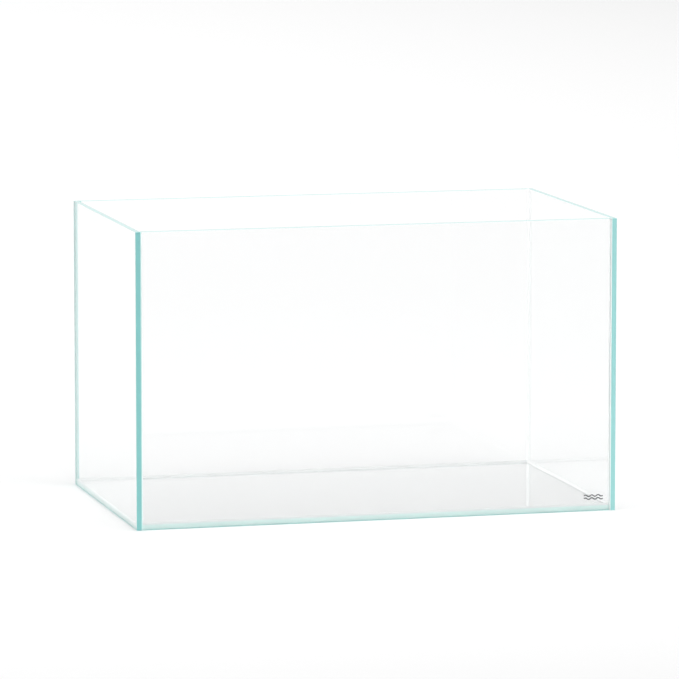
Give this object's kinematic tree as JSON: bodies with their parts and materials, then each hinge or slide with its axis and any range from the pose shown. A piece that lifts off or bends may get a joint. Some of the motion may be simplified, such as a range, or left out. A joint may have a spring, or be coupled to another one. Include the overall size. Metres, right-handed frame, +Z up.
{
  "type": "glass aquarium tank",
  "caption": "Rimless open-topped rectangular tank of clear glass panes bonded and sealed with clear silicone, for holding water, plants and fish.",
  "frame": {"origin": "centre of the footprint, on the ground plane under the base pane and the walls", "axes": "+X along the tank's length towards its right side pane, -Y towards the front pane with the mark, +Z up"},
  "size_m": [0.6, 0.3601, 0.36],
  "materials": {
    "clear_glass": "polished",
    "clear_silicone": "satin",
    "mark_ink": "matte"
  },
  "bodies": {
    "root": {"bottom_pane": "clear_glass", "front_pane": "clear_glass", "back_pane": "clear_glass", "left_pane": "clear_glass", "right_pane": "clear_glass", "bond_front_left": "clear_silicone", "bond_front_right": "clear_silicone", "bond_back_left": "clear_silicone", "bond_back_right": "clear_silicone", "bond_base_front": "clear_silicone", "bond_base_back": "clear_silicone", "bond_base_left": "clear_silicone", "bond_base_right": "clear_silicone", "bead_front_left": "clear_silicone", "bead_front_right": "clear_silicone", "bead_back_left": "clear_silicone", "bead_back_right": "clear_silicone", "bead_base_front": "clear_silicone", "bead_base_back": "clear_silicone", "bead_base_left": "clear_silicone", "bead_base_right": "clear_silicone", "mark_wave_lower": "mark_ink", "mark_wave_upper": "mark_ink"}
  },
  "joints": []
}
